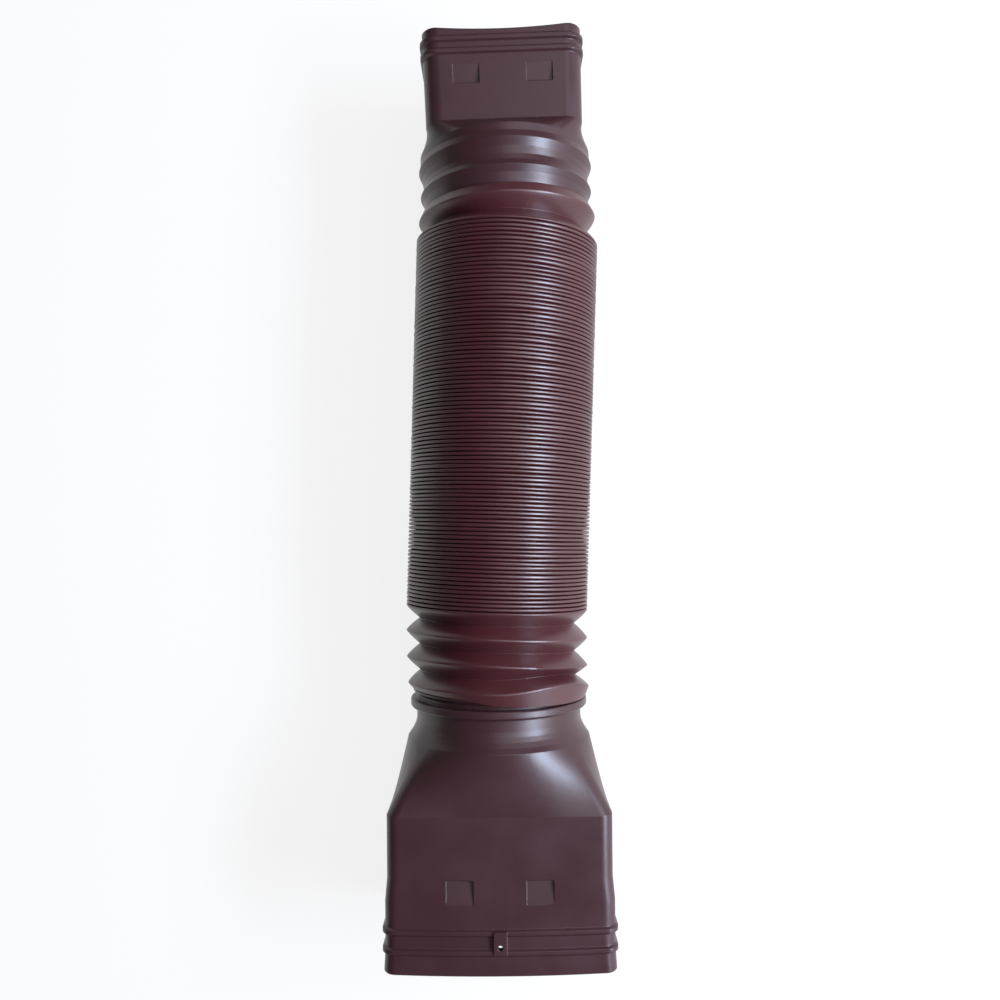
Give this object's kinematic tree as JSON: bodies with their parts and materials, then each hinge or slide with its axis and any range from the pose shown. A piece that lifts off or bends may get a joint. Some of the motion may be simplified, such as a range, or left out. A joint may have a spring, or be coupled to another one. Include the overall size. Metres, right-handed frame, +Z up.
{
  "type": "flexible downspout extension",
  "caption": "Folding drain pipe with a round pleated middle, a small rectangular socket for a downspout on one end and a larger rectangular outlet with a screw boss on the other.",
  "frame": {"origin": "centre of the bounding box, on the floor that the pleats rest on", "axes": "+Y along the folded pleats toward the small mouth, +Z up, toward the wide face with the screw boss"},
  "size_m": [0.1276, 0.5214, 0.1067],
  "materials": {
    "adapter_plastic": "moulded purple-brown polypropylene, half gloss",
    "bellows_plastic": "blow-moulded red-brown polyethylene, half gloss"
  },
  "bodies": {
    "pipe": {"bellows": "bellows_plastic", "small_adapter": "adapter_plastic"},
    "outlet": {"large_adapter": "adapter_plastic"}
  },
  "joints": [
    {"name": "pull_open", "type": "slide", "parent": "pipe", "child": "outlet", "axis": [0, -1, 0], "range_m": [0, 1.13], "deforming": ["bellows"]}
  ]
}
